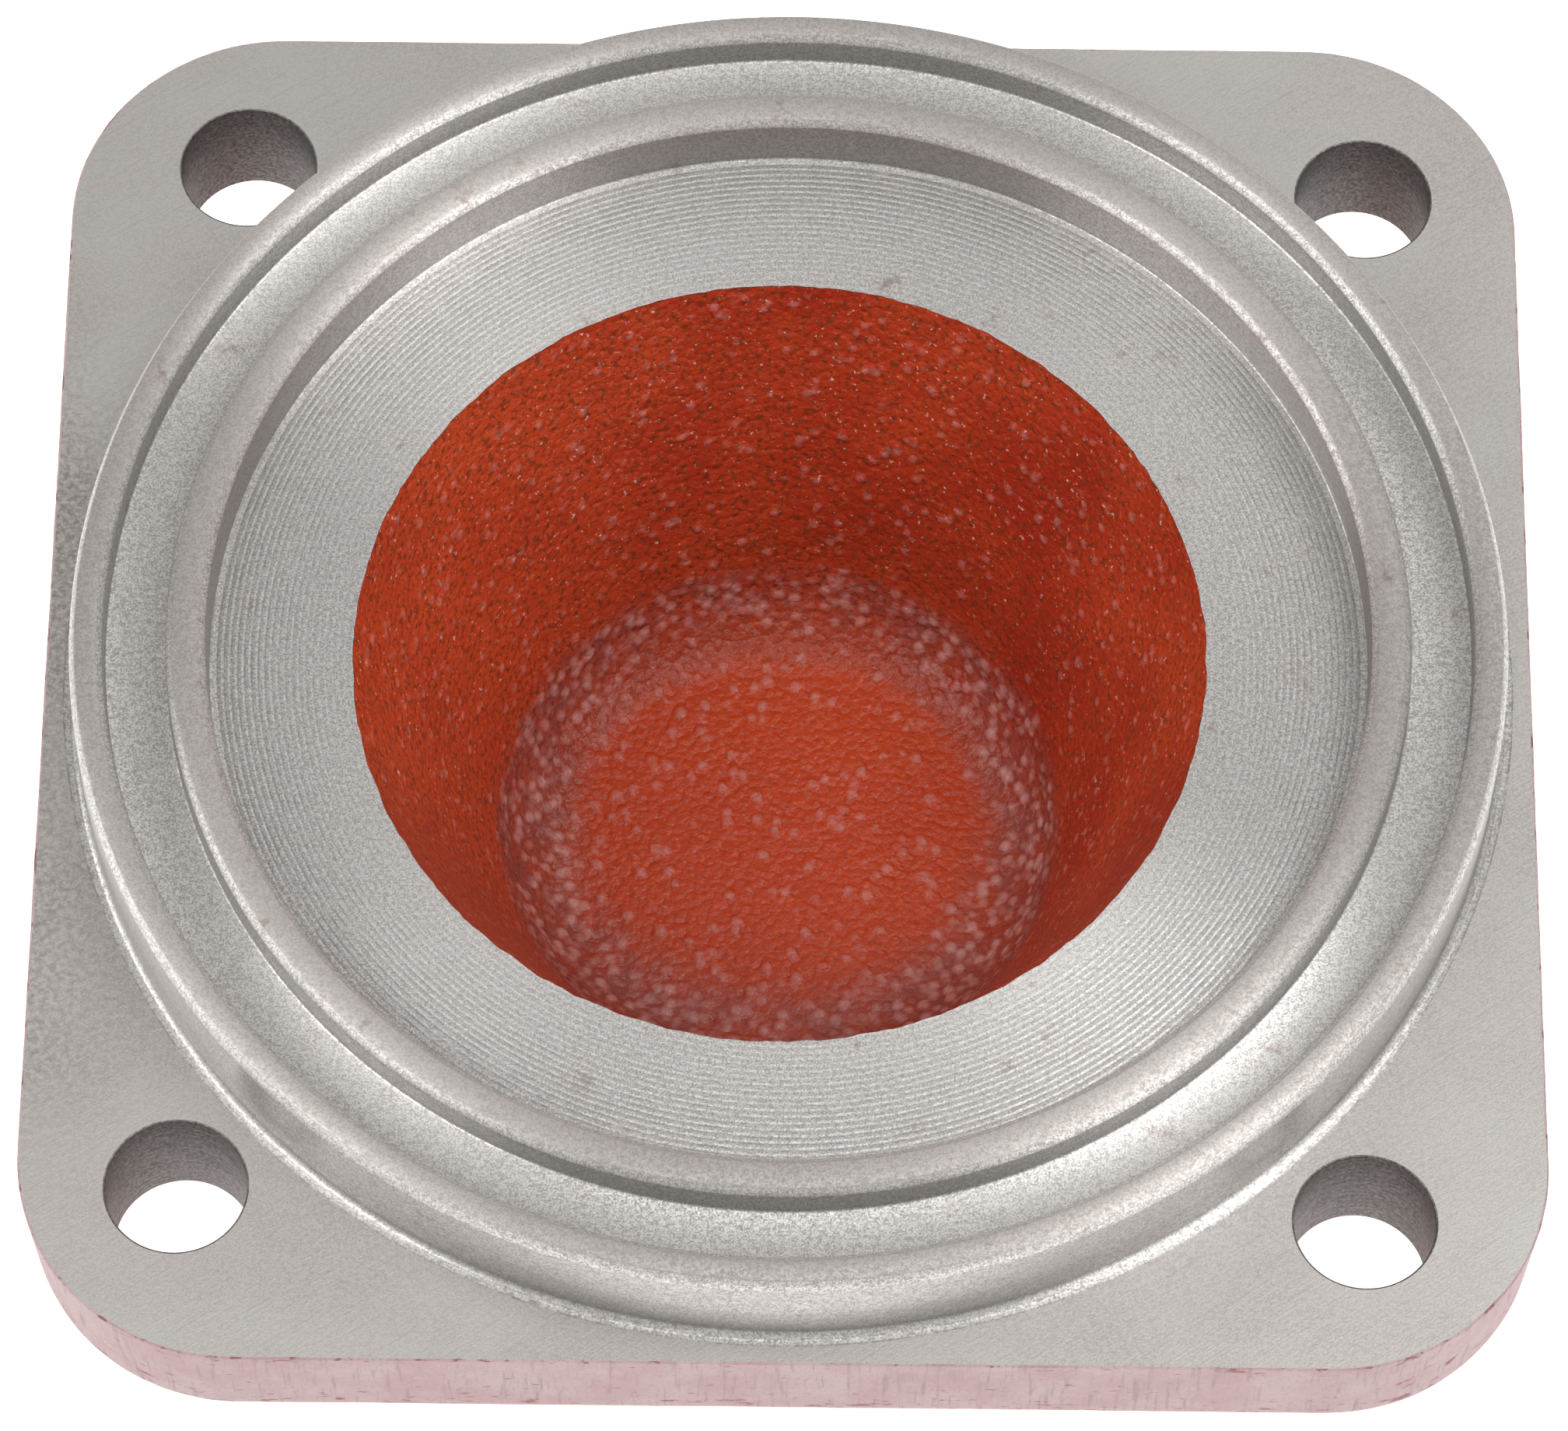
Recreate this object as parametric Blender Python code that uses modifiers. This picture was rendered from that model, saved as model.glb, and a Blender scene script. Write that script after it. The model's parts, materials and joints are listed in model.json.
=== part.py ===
"""Blind flange: a square cast-iron cover with a turned sealing spigot and a primed hollow.

Units are metres, +Z points from the back of the casting to the sealing face, and the
origin is the centre of the flat pad under the dished back.
Run with: blender --background --python part.py
"""
import math

import bmesh
import bpy

MM = 0.001

# Bolting: four clearance holes for M12 on a square.
BOLT_SPACING = 117.0 * MM
BOLT_HOLE_RADIUS = 7.0 * MM

# Square plate. Its cast outline is clocked a little round from the drilled holes.
PLATE_SIDE = 151.2 * MM
PLATE_THICKNESS = 14.8 * MM
PLATE_CORNER_RADIUS = 22.0 * MM
PLATE_BACK_EDGE_RADIUS = 3.0 * MM
PLATE_DRAFT = math.radians(3.0)
PLATE_CLOCKING = math.radians(1.2)

# Height of the plate's machined face above the back pad.
PLATE_TOP = 48.0 * MM

# Turned spigot: two lands at one height with a seal groove between them.
LAND_HEIGHT = 11.7 * MM
SEAT_HEIGHT = 4.9 * MM
GROOVE_HEIGHT = 7.6 * MM
SPIGOT_RADIUS = 72.3 * MM
GROOVE_OUTER_RADIUS = 68.9 * MM
GROOVE_INNER_RADIUS = 62.6 * MM
RECESS_RADIUS = 58.55 * MM
LAND_CHAMFER = 0.7 * MM
OUTER_CHAMFER_WIDTH = 0.6 * MM
OUTER_CHAMFER_DROP = 1.3 * MM
SPIGOT_FOOT_RADIUS = 0.6 * MM

# Cast hollow, measured on the primer's surface: a drafted wall and a rounded floor corner.
CAVITY_MOUTH_RADIUS = 43.15 * MM
CAVITY_DEPTH = 44.7 * MM
CAVITY_DRAFT = math.radians(20.5)
CAVITY_CORNER_RADIUS = 8.1 * MM
# The core sat a little off the turned axis, along X.
CAVITY_SHIFT = -0.9 * MM

# Primer lining the hollow, drawn thicker than the real film so that it is a solid.
COAT_THICKNESS = 0.5 * MM
COAT_GAP = 0.3 * MM

# Dished back that follows the hollow.
DISH_ROOT_RADIUS = 5.0 * MM

TURNED_STEPS = 72
DRILL_STEPS = 32
OVERSHOOT = 5.0 * MM
MERGE_DISTANCE = 0.00001


def clear_scene():
    for item in list(bpy.data.objects):
        bpy.data.objects.remove(item, do_unlink=True)


def new_collection(name):
    collection = bpy.data.collections.new(name)
    bpy.context.scene.collection.children.link(collection)
    return collection


def material(name, color, roughness, metallic):
    result = bpy.data.materials.new(name)
    result.use_nodes = True
    shader = result.node_tree.nodes["Principled BSDF"]
    shader.inputs["Base Color"].default_value = (*color, 1.0)
    shader.inputs["Roughness"].default_value = roughness
    shader.inputs["Metallic"].default_value = metallic
    return result


def new_object(name, mesh, collection):
    item = bpy.data.objects.new(name, mesh)
    collection.objects.link(item)
    return item


def turned(name, profile, collection):
    """Turn a profile about Z. It runs from the axis at the top, down the outside, to the axis."""
    mesh = bpy.data.meshes.new(name)
    points = [(radius, 0.0, height) for radius, height in profile]
    mesh.from_pydata(points, [(i, i + 1) for i in range(len(points) - 1)], [])
    item = new_object(name, mesh, collection)
    screw = item.modifiers.new("Turn", "SCREW")
    screw.axis = "Z"
    screw.steps = TURNED_STEPS
    screw.render_steps = TURNED_STEPS
    screw.use_merge_vertices = True
    screw.merge_threshold = MERGE_DISTANCE
    screw.use_smooth_shade = True
    return item


def arc(center, radius, start, end, steps):
    """Points on an arc in the profile plane, with angles from +X towards +Z."""
    angles = [start + (end - start) * i / steps for i in range(steps + 1)]
    return [(center[0] + radius * math.cos(a), center[1] + radius * math.sin(a)) for a in angles]


def bowl_profile(offset, steps):
    """The hollow's profile from its drafted wall to the axis, moved out into the metal by offset.

    Returns the wall's slope line as a function of height, and the points below the wall.
    """
    seat = PLATE_TOP + SEAT_HEIGHT
    floor = seat - CAVITY_DEPTH
    corner_height = floor + CAVITY_CORNER_RADIUS
    tangent_height = corner_height - CAVITY_CORNER_RADIUS * math.sin(CAVITY_DRAFT)
    tangent_radius = CAVITY_MOUTH_RADIUS - (seat - tangent_height) * math.tan(CAVITY_DRAFT)
    corner_center = (tangent_radius - CAVITY_CORNER_RADIUS * math.cos(CAVITY_DRAFT), corner_height)

    def wall_radius(height):
        shift = offset / math.cos(CAVITY_DRAFT)
        return CAVITY_MOUTH_RADIUS + shift - (seat - height) * math.tan(CAVITY_DRAFT)

    corner = arc(corner_center, CAVITY_CORNER_RADIUS + offset, -CAVITY_DRAFT, -math.pi / 2, steps)
    return wall_radius, corner + [(0.0, floor - offset)]


def dish_root(wall_radius, underside):
    """The fillet from the plate's underside into the dish's wall, which runs down and inward."""
    turn = math.pi / 2 - CAVITY_DRAFT
    reach = DISH_ROOT_RADIUS * math.tan(turn / 2)
    start = (wall_radius(underside) + reach, underside)
    center = (start[0], underside - DISH_ROOT_RADIUS)
    return arc(center, DISH_ROOT_RADIUS, math.pi / 2, math.pi / 2 + turn, 4)


def casting_profile():
    """The turned form of the casting with its hollow still filled: spigot, then dished back."""
    land = PLATE_TOP + LAND_HEIGHT
    groove = PLATE_TOP + GROOVE_HEIGHT
    seat = PLATE_TOP + SEAT_HEIGHT
    chamfered = land - LAND_CHAMFER
    outer_edge = SPIGOT_RADIUS - OUTER_CHAMFER_WIDTH
    underside = PLATE_TOP - PLATE_THICKNESS
    spigot = [
        (0.0, seat),
        (RECESS_RADIUS, seat),
        (RECESS_RADIUS, chamfered),
        (RECESS_RADIUS + LAND_CHAMFER, land),
        (GROOVE_INNER_RADIUS - LAND_CHAMFER, land),
        (GROOVE_INNER_RADIUS, chamfered),
        (GROOVE_INNER_RADIUS, groove),
        (GROOVE_OUTER_RADIUS, groove),
        (GROOVE_OUTER_RADIUS, chamfered),
        (GROOVE_OUTER_RADIUS + LAND_CHAMFER, land),
        (outer_edge, land),
        (SPIGOT_RADIUS, land - OUTER_CHAMFER_DROP),
    ]
    foot_center = (SPIGOT_RADIUS + SPIGOT_FOOT_RADIUS, PLATE_TOP + SPIGOT_FOOT_RADIUS)
    foot = arc(foot_center, SPIGOT_FOOT_RADIUS, math.pi, 1.35 * math.pi, 2)
    foot.append((foot[-1][0] + SPIGOT_FOOT_RADIUS / 2, PLATE_TOP - SPIGOT_FOOT_RADIUS))
    wall_thickness = PLATE_TOP + SEAT_HEIGHT - CAVITY_DEPTH
    dish_wall, dish_bottom = bowl_profile(wall_thickness, 6)
    root = dish_root(dish_wall, underside)
    inside_plate = [(root[0][0], PLATE_TOP - PLATE_THICKNESS / 2)]
    return spigot + foot + inside_plate + root + dish_bottom


def hollow_profile():
    """The core that leaves the hollow, with room for the primer, open above the seat."""
    wall_radius, bottom = bowl_profile(COAT_THICKNESS + COAT_GAP, 5)
    seat = PLATE_TOP + SEAT_HEIGHT
    top = PLATE_TOP + LAND_HEIGHT + OVERSHOOT
    return [(0.0, top), (wall_radius(seat), top), (wall_radius(seat), seat)] + bottom


def coat_profile():
    """A cup of even thickness: down the outside to the axis, then the inside back to the rim."""
    seat = PLATE_TOP + SEAT_HEIGHT
    outer_wall, outer_bottom = bowl_profile(COAT_THICKNESS, 5)
    inner_wall, inner_bottom = bowl_profile(0.0, 5)
    inside = [(inner_wall(seat), seat)] + inner_bottom
    return list(reversed(inside)) + [(outer_wall(seat), seat)] + outer_bottom


def square_plate(collection):
    """A four-sided frustum: the draft makes it smaller at the back."""
    plate_back_side = PLATE_SIDE - 2 * PLATE_THICKNESS * math.tan(PLATE_DRAFT)
    to_corner = 1 / math.sqrt(2)
    shape = bmesh.new()
    bmesh.ops.create_cone(
        shape,
        cap_ends=True,
        segments=4,
        radius1=plate_back_side * to_corner,
        radius2=PLATE_SIDE * to_corner,
        depth=PLATE_THICKNESS,
    )
    corners = [e for e in shape.edges if abs(e.verts[0].co.z - e.verts[1].co.z) > PLATE_THICKNESS / 2]
    bmesh.ops.bevel(
        shape, geom=corners, offset=PLATE_CORNER_RADIUS, offset_type="OFFSET", segments=10,
        profile=0.5, affect="EDGES", clamp_overlap=False,
    )
    back_edges = [e for e in shape.edges if all(v.co.z < -PLATE_THICKNESS / 4 for v in e.verts)]
    bmesh.ops.bevel(
        shape, geom=back_edges, offset=PLATE_BACK_EDGE_RADIUS, offset_type="OFFSET", segments=3,
        profile=0.5, affect="EDGES",
    )
    bmesh.ops.recalc_face_normals(shape, faces=shape.faces)
    mesh = bpy.data.meshes.new("flange_casting")
    shape.to_mesh(mesh)
    shape.free()
    plate = new_object("flange_casting", mesh, collection)
    plate.location.z = PLATE_TOP - PLATE_THICKNESS / 2
    # A four-sided cone has its corners on the axes: an eighth of a turn squares it up.
    plate.rotation_euler.z = math.pi / 4 + PLATE_CLOCKING
    return plate


def drill(name, x, y, collection):
    shape = bmesh.new()
    bmesh.ops.create_cone(
        shape, cap_ends=True, segments=DRILL_STEPS, radius1=BOLT_HOLE_RADIUS,
        radius2=BOLT_HOLE_RADIUS, depth=PLATE_THICKNESS + 2 * OVERSHOOT,
    )
    mesh = bpy.data.meshes.new(name)
    shape.to_mesh(mesh)
    shape.free()
    item = new_object(name, mesh, collection)
    item.location = (x, y, PLATE_TOP - PLATE_THICKNESS / 2)
    return item


def combine(item, tool, operation):
    tool.hide_render = True
    tool.display_type = "WIRE"
    step = item.modifiers.new(f"{operation.title()} {tool.name}", "BOOLEAN")
    step.operation = operation
    step.solver = "EXACT"
    step.object = tool


def build():
    clear_scene()
    parts = new_collection("blind_flange")
    cutters = new_collection("cutters")
    iron = material("machined_iron", (0.56, 0.55, 0.53), 0.45, 0.9)
    primer = material("red_primer", (0.36, 0.03, 0.015), 0.35, 0.0)

    casting = square_plate(parts)
    combine(casting, turned("turned_form", casting_profile(), cutters), "UNION")
    core = turned("hollow_core", hollow_profile(), cutters)
    core.location.x = CAVITY_SHIFT
    combine(casting, core, "DIFFERENCE")
    half = BOLT_SPACING / 2
    for number, (x, y) in enumerate([(half, half), (-half, half), (-half, -half), (half, -half)], 1):
        combine(casting, drill(f"bolt_drill_{number}", x, y, cutters), "DIFFERENCE")
    casting.data.materials.append(iron)

    coat = turned("cavity_primer_coat", coat_profile(), parts)
    coat.location.x = CAVITY_SHIFT
    coat.data.materials.append(primer)


build()
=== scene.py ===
"""Looks of a square cast-iron blind flange: a turned spigot and seat, a ground plate, a primed hollow.

Units are metres in the row frame: +Z from the back pad to the sealing face.
"""
import json
import math

import bmesh
import bpy
import numpy as np
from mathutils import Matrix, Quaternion, Vector, noise
from mathutils.geometry import delaunay_2d_cdt


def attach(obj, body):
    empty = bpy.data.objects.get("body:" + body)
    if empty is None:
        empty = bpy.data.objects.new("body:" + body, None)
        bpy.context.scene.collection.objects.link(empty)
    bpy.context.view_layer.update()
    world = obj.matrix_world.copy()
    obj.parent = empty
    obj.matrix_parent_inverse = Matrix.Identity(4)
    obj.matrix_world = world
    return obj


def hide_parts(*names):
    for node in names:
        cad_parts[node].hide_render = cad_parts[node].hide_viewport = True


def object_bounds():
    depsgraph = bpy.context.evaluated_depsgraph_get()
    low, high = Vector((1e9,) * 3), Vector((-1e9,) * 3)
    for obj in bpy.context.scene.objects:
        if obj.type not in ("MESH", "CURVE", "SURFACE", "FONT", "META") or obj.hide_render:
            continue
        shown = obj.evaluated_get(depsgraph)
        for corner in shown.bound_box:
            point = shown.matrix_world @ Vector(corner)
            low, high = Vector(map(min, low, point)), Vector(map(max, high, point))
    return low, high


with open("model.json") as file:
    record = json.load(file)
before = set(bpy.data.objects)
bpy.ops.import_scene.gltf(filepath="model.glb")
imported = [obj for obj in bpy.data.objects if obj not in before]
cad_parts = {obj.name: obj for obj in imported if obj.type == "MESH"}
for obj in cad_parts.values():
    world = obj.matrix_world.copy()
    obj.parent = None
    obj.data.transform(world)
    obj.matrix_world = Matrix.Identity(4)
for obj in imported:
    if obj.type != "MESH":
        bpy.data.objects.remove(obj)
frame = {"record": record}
cad_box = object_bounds()

MM = 0.001
MOUNTS = {mount["name"]: mount["pos_m"] for mount in frame["record"]["mounts"]}
OPENINGS = {opening["name"]: opening["box_m"] for opening in frame["record"]["physics"]["openings"]}

# Heights come from the frame's faces.
LAND = MOUNTS["outer_land"][2]
GROOVE = MOUNTS["groove_floor"][2]
SEAT = MOUNTS["inner_seat"][2]
PLATE_TOP = MOUNTS["plate_face"][2]
UNDERSIDE = MOUNTS["bolt_seat_1"][2]

# Turned radii, corners and chamfers of the spigot.
SPIGOT_RADIUS = 72.3 * MM
GROOVE_OUTER_RADIUS = 68.9 * MM
GROOVE_INNER_RADIUS = 62.6 * MM
RECESS_RADIUS = 58.55 * MM
LAND_CHAMFER = 0.7 * MM
OUTER_CHAMFER_WIDTH = 0.6 * MM
OUTER_CHAMFER_DROP = 1.3 * MM
RECESS_CORNER = 0.15 * MM
GROOVE_CORNER = 0.2 * MM
FOOT_RADIUS = 0.85 * MM
FOOT_STEPS = 5
FOOT_APRON = 0.5 * MM
EDGE_BREAK = 0.09 * MM
TURNED_POINTS = 384

# Turning marks on the seat: scallops left by the tool's round nose, shallower near the mouth.
FEED = 0.69 * MM
SCALLOP_DEPTH = 0.034 * MM
SCALLOP_RADII = (46 * MM, 55 * MM)
SCALLOP_SHARES = (0.55, 1.0)
SCALLOP_POINTS = (0.1, 0.3, 0.5, 0.7, 0.9, 1.0)
SEAT_RIM = RECESS_RADIUS - 0.5 * MM
FIRST_MARK_RADIUS = 44.6 * MM
MOUTH_BAND_LOOPS = 13

# Plate outline, draft and edges.
PLATE_SIDE = 151.2 * MM
CORNER_RADIUS = 22.0 * MM
CORNER_POINTS = 34
STRAIGHT_POINTS = 96
CLOCKING = math.radians(1.2)
DRAFT = math.radians(3.0)
SIDE_LOOPS = 18
BACK_EDGE_RADIUS = 3.0 * MM
BACK_EDGE_STEPS = 6
TOP_EDGE_BREAK = 0.18 * MM
TOP_APRON = 1.1 * MM
BACK_APRON = 0.6 * MM

# Drilled holes: broken edges on top, small countersinks below.
HOLE_RADIUS = 7.0 * MM
HOLE_EDGE_BREAK = 0.22 * MM
HOLE_EDGE_FACET = 0.06 * MM
HOLE_COUNTERSINK = 0.5 * MM
HOLE_APRON = 0.9 * MM
HOLE_POINTS = 96

# Hollow: its mouth is nicked, and the metal lies under the primer film.
HOLLOW_DEPTH = 44.7 * MM
HOLLOW_FLOOR = SEAT - HOLLOW_DEPTH
HOLLOW_MOUTH_RADIUS = 43.15 * MM
HOLLOW_DRAFT = math.radians(20.5)
HOLLOW_CORNER_RADIUS = 8.1 * MM
HOLLOW_CENTER = np.array([np.mean([c[0] for c in OPENINGS["hollow_lower"]]), 0.0])
MOUTH_NICKS = 0.28 * MM
NICKS_ROUND = (14, 42)
METAL_OFFSET = 0.8 * MM
METAL_CORNER_STEPS = 8
LIP_DEPTH = 0.15 * MM
UNDER_LIP_DEPTH = 0.6 * MM

# Dished back.
DISH_ROOT_RADIUS = 5.0 * MM
DISH_ROOT_STEPS = 8
DISH_WALL_STEPS = 14
DISH_CORNER_STEPS = 16
DISH_APRON = 1.0 * MM

# Cast relief: how deep it is, and how wide its grains are.
RAGGED_EDGE = (0.25 * MM, 0.9 * MM)
SIDE_RELIEF = (0.18 * MM, 1.6 * MM)
DISH_RELIEF = (0.22 * MM, 1.8 * MM)

# Primer film in the hollow.
COAT_POINTS = 600
COAT_THICKNESS = 0.6 * MM
COAT_WALL_STEPS = 104
COAT_CORNER_STEPS = 28
COAT_FLOOR_STEPS = 62
COAT_BACK_CORNER_STEPS = 8
COAT_RIM_DROP = 0.1 * MM
COAT_RIM_INSET = 0.03 * MM
COAT_BACK_DROP = 0.7 * MM
COAT_FADE_LOOPS = 4

# Pebbles on the film. The smooth middle that they crowd round lies a little towards the back.
PEBBLE_SPACING = 1.3 * MM
PEBBLE_HEIGHT = 0.24 * MM
LOW_PEBBLE_WIDTH = 0.72
HIGH_PEBBLE_WIDTH = 0.6
HIGH_PEBBLES_ABOVE = 13 * MM
LONE_PEBBLE_SHARE = 0.85
LONE_CHANCE = (0.16, 0.28)
CROWDED_CHANCE = (-0.25, 0.25)
FLOOR_MIDDLE = HOLLOW_CENTER + np.array([0.0, 4.5 * MM])
RING_REACH = 19.5 * MM
RING_TOP = 6.8 * MM
GRAIN_SPACING = 0.8 * MM
GRAIN_HEIGHT = 0.06 * MM
SWELL_SPACING = 9 * MM
SWELL_HEIGHT = 0.12 * MM

# Material slots of the casting's mesh, and the angle from which its edges are sharp.
TURNED, GROUND, DRILLED, PINK, RED = range(5)
CASTING_SHARP_ANGLE = math.radians(38)
COAT_SHARP_ANGLE = math.radians(70)

# Tolerances of the flat faces' triangles.
SLIVER_AREA = 1e-9
MERGE_DISTANCE = 1e-9
JUST_INSIDE = 0.999999


# ---------------------------------------------------------------- shapes


class Shell:
    """Collects the loops and faces of one closed mesh."""

    def __init__(self):
        self.points = []
        self.tops = []
        self.faces = []
        self.slots = []

    def loop(self, points, tops=None):
        """Adds points, with how far each is up a pebble (0 to 1), and gives their numbers."""
        first = len(self.points)
        self.points.extend(tuple(p) for p in points)
        self.tops.extend([0.0] * len(points) if tops is None else tops)
        return list(range(first, len(self.points)))

    def face(self, corners, slot):
        self.faces.append(tuple(corners))
        self.slots.append(slot)

    def bridge(self, upper, lower, slot):
        """Quads between two closed loops of the same length."""
        for i in range(len(upper)):
            j = (i + 1) % len(upper)
            self.face((upper[i], lower[i], lower[j], upper[j]), slot)

    def skin(self, loops, slot):
        for upper, lower in zip(loops, loops[1:]):
            self.bridge(upper, lower, slot)

    def cap(self, loop, center, slot):
        hub = self.loop([center])[0]
        for i in range(len(loop)):
            self.face((loop[i], hub, loop[(i + 1) % len(loop)]), slot)

    def sheet(self, outline, holes, slot):
        """Triangles between a convex outline and round holes in it."""
        ids = [i for loop in [outline] + holes for i in loop]
        circles = []
        for loop in holes:
            rim = np.array([self.points[i][:2] for i in loop])
            center = rim.mean(axis=0)
            inscribed = np.hypot(*(rim[0] - center)) * math.cos(math.pi / len(loop))
            circles.append((center, inscribed * JUST_INSIDE))
        place = {vertex: n for n, vertex in enumerate(ids)}
        edges = []
        for loop in [outline] + holes:
            edges += [(place[a], place[b]) for a, b in zip(loop, loop[1:] + loop[:1])]
        flat = [Vector(self.points[i][:2]) for i in ids]
        found = delaunay_2d_cdt(flat, edges, [], 0, MERGE_DISTANCE)
        for triangle in found[2]:
            a, b, c = (found[0][n] for n in triangle)
            middle = (a + b + c) / 3
            # Straight sides give slivers of no area, which are left out.
            if abs((b - a).cross(c - a)) < SLIVER_AREA:
                continue
            if all(math.hypot(middle.x - at[0], middle.y - at[1]) > r for at, r in circles):
                self.face([ids[found[3][n][0]] for n in triangle], slot)

    def build(self, name, materials, sharp_angle):
        mesh = bpy.data.meshes.new(name)
        mesh.from_pydata(self.points, [], self.faces)
        mesh.polygons.foreach_set("material_index", self.slots)
        mesh.attributes.new("pebble_top", "FLOAT", "POINT").data.foreach_set("value", self.tops)
        for item in materials:
            mesh.materials.append(item)
        shape = bmesh.new()
        shape.from_mesh(mesh)
        bmesh.ops.recalc_face_normals(shape, faces=shape.faces)
        for face in shape.faces:
            face.smooth = True
        # Edges between two materials are sharp too.
        for edge in shape.edges:
            one, other = edge.link_faces
            same = one.material_index == other.material_index
            edge.smooth = same and edge.calc_face_angle() < sharp_angle
        shape.to_mesh(mesh)
        shape.free()
        piece = bpy.data.objects.new(name, mesh)
        bpy.context.scene.collection.objects.link(piece)
        return piece


def way(value, start, end):
    """How far a value has come from start to end, from 0 to 1."""
    return min(1.0, max(0.0, (value - start) / (end - start)))


def angles(count):
    return np.arange(count) * 2 * math.pi / count


def ring(radius, height, count, center=(0.0, 0.0)):
    """Points round a circle. The radius and the height may vary with the angle."""
    turn = angles(count)
    radius = np.broadcast_to(radius, count)
    height = np.broadcast_to(height, count)
    return np.column_stack(
        (center[0] + radius * np.cos(turn), center[1] + radius * np.sin(turn), height)
    )


def arc(center, radius, start, end, steps):
    turn = np.linspace(start, end, steps + 1)
    return [(center[0] + radius * math.cos(a), center[1] + radius * math.sin(a)) for a in turn]


def broken_edges(profile, size):
    """Cuts each corner of a profile with a short facet, as a deburring stroke does."""
    result = [profile[0]]
    for before, corner, after in zip(profile, profile[1:], profile[2:]):
        corner = Vector(corner)
        for neighbour in (Vector(before), Vector(after)):
            step = neighbour - corner
            result.append(tuple(corner + step.normalized() * min(size, step.length / 3)))
    return result + [profile[-1]]


def bowl_profile(offset, steps):
    """The hollow's profile moved into the metal by offset: its wall line, and its floor corner."""
    corner_height = HOLLOW_FLOOR + HOLLOW_CORNER_RADIUS
    tangent_height = corner_height - HOLLOW_CORNER_RADIUS * math.sin(HOLLOW_DRAFT)
    tangent_radius = HOLLOW_MOUTH_RADIUS - (SEAT - tangent_height) * math.tan(HOLLOW_DRAFT)
    corner_radius = tangent_radius - HOLLOW_CORNER_RADIUS * math.cos(HOLLOW_DRAFT)

    def wall(height):
        slope = (SEAT - height) * math.tan(HOLLOW_DRAFT)
        return HOLLOW_MOUTH_RADIUS + offset / math.cos(HOLLOW_DRAFT) - slope

    center = (corner_radius, corner_height)
    corner = arc(center, HOLLOW_CORNER_RADIUS + offset, -HOLLOW_DRAFT, -math.pi / 2, steps)
    return wall, corner


def mouth_radius():
    """The ragged edge where the turned seat cuts the rough cast hollow, about the hollow's centre."""
    coarse, fine = NICKS_ROUND
    nicks = [
        0.5 * noise.noise(Vector((math.cos(a), math.sin(a), 0.3)) * coarse)
        + 0.5 * noise.noise(Vector((math.cos(a), math.sin(a), 0.7)) * fine)
        for a in angles(TURNED_POINTS)
    ]
    return HOLLOW_MOUTH_RADIUS + MOUTH_NICKS * np.array(nicks)


def seat_height(radius):
    """The seat's scalloped height at a radius from the turned axis."""
    phase = np.mod((SEAT_RIM - radius) / FEED, 1.0)
    depth = SCALLOP_DEPTH * np.interp(radius, SCALLOP_RADII, SCALLOP_SHARES)
    scallop = 4 * depth * phase * (1 - phase)
    return SEAT - np.where(radius < SEAT_RIM, scallop, 0.0)


def rounded_square(inset, height):
    """A clocked rounded square drawn in from the plate's outline by inset."""
    half = PLATE_SIDE / 2 - inset
    radius = CORNER_RADIUS - inset
    straight = half - radius
    corner = [
        (straight + radius * math.cos(a), straight + radius * math.sin(a))
        for a in np.linspace(0, math.pi / 2, CORNER_POINTS, endpoint=False)
    ]
    side = [(straight * (1 - 2 * s), half) for s in np.linspace(0, 1, STRAIGHT_POINTS, endpoint=False)]
    loop = []
    for quarter in range(4):
        turn = CLOCKING + quarter * math.pi / 2
        cos, sin = math.cos(turn), math.sin(turn)
        loop += [(x * cos - y * sin, x * sin + y * cos, height) for x, y in corner + side]
    return np.array(loop)


def cast_relief(point, size):
    """Cast-surface relief at a point, from -1 to 0: soft swells and smaller grains."""
    swell = noise.noise(Vector(point) / (size * 6))
    grain = noise.noise(Vector(point) / size)
    return 0.5 * (0.6 * swell + 0.4 * grain) - 0.5


def pressed_in(points, depth, size):
    """Moves a loop inwards by cast relief."""
    result = np.array(points)
    for p in result:
        p[:2] *= 1 + depth * cast_relief(p, size) / math.hypot(p[0], p[1])
    return result


# ---------------------------------------------------------------- the casting


def seat_loops(shell, mouth):
    """The seat's loops, from the ragged mouth to its smooth rim."""
    marks = math.floor((SEAT_RIM - FIRST_MARK_RADIUS) / FEED)
    first_mark = SEAT_RIM - FEED * marks
    mouth_points = ring(mouth, SEAT, TURNED_POINTS, HOLLOW_CENTER)
    mark_points = ring(first_mark, SEAT, TURNED_POINTS)
    loops = []
    # The first band blends from the hollow's centre to the turned axis.
    for blend in np.linspace(0, 1, MOUTH_BAND_LOOPS):
        band = mouth_points * (1 - blend) + mark_points * blend
        band[:, 2] = seat_height(np.hypot(band[:, 0], band[:, 1]))
        loops.append(shell.loop(band))
    for mark in range(marks):
        for point in SCALLOP_POINTS:
            radius = first_mark + (mark + point) * FEED
            loops.append(shell.loop(ring(radius, seat_height(radius), TURNED_POINTS)))
    return loops


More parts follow.
